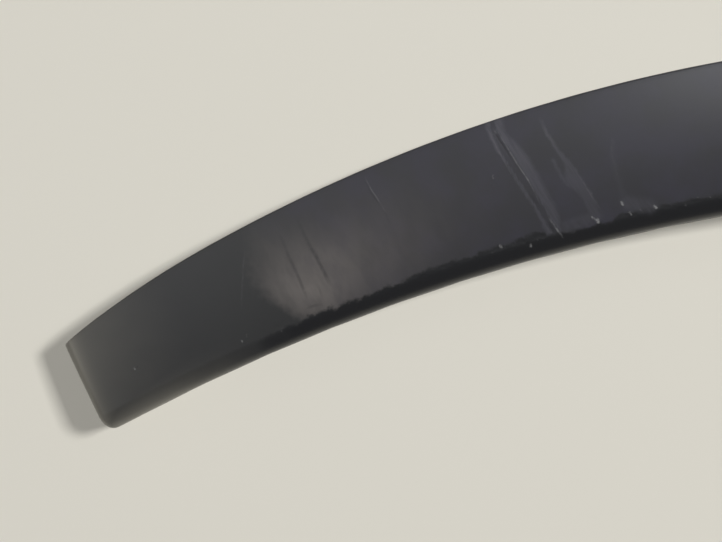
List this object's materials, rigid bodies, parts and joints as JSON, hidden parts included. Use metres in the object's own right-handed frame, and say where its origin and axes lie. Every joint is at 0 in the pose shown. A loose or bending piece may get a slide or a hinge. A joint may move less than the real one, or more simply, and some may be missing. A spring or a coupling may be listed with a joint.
{
  "type": "wheel arch trim",
  "caption": "Curved black wheel arch trim: crowned face band, rounded inner lip, inward flange, tapering legs with rounded ends, and clip seats moulded on the back.",
  "frame": {"origin": "middle of the footprint, on the plane that the flange rests on", "axes": "+X along the chord between the leg ends, +Y from the legs to the crown, +Z out of the face"},
  "size_m": [0.916, 0.4824, 0.0256],
  "materials": {
    "black_plastic": "satin moulded black, scuffed and scratched"
  },
  "bodies": {
    "root": {"arch_moulding": "black_plastic"}
  },
  "joints": []
}
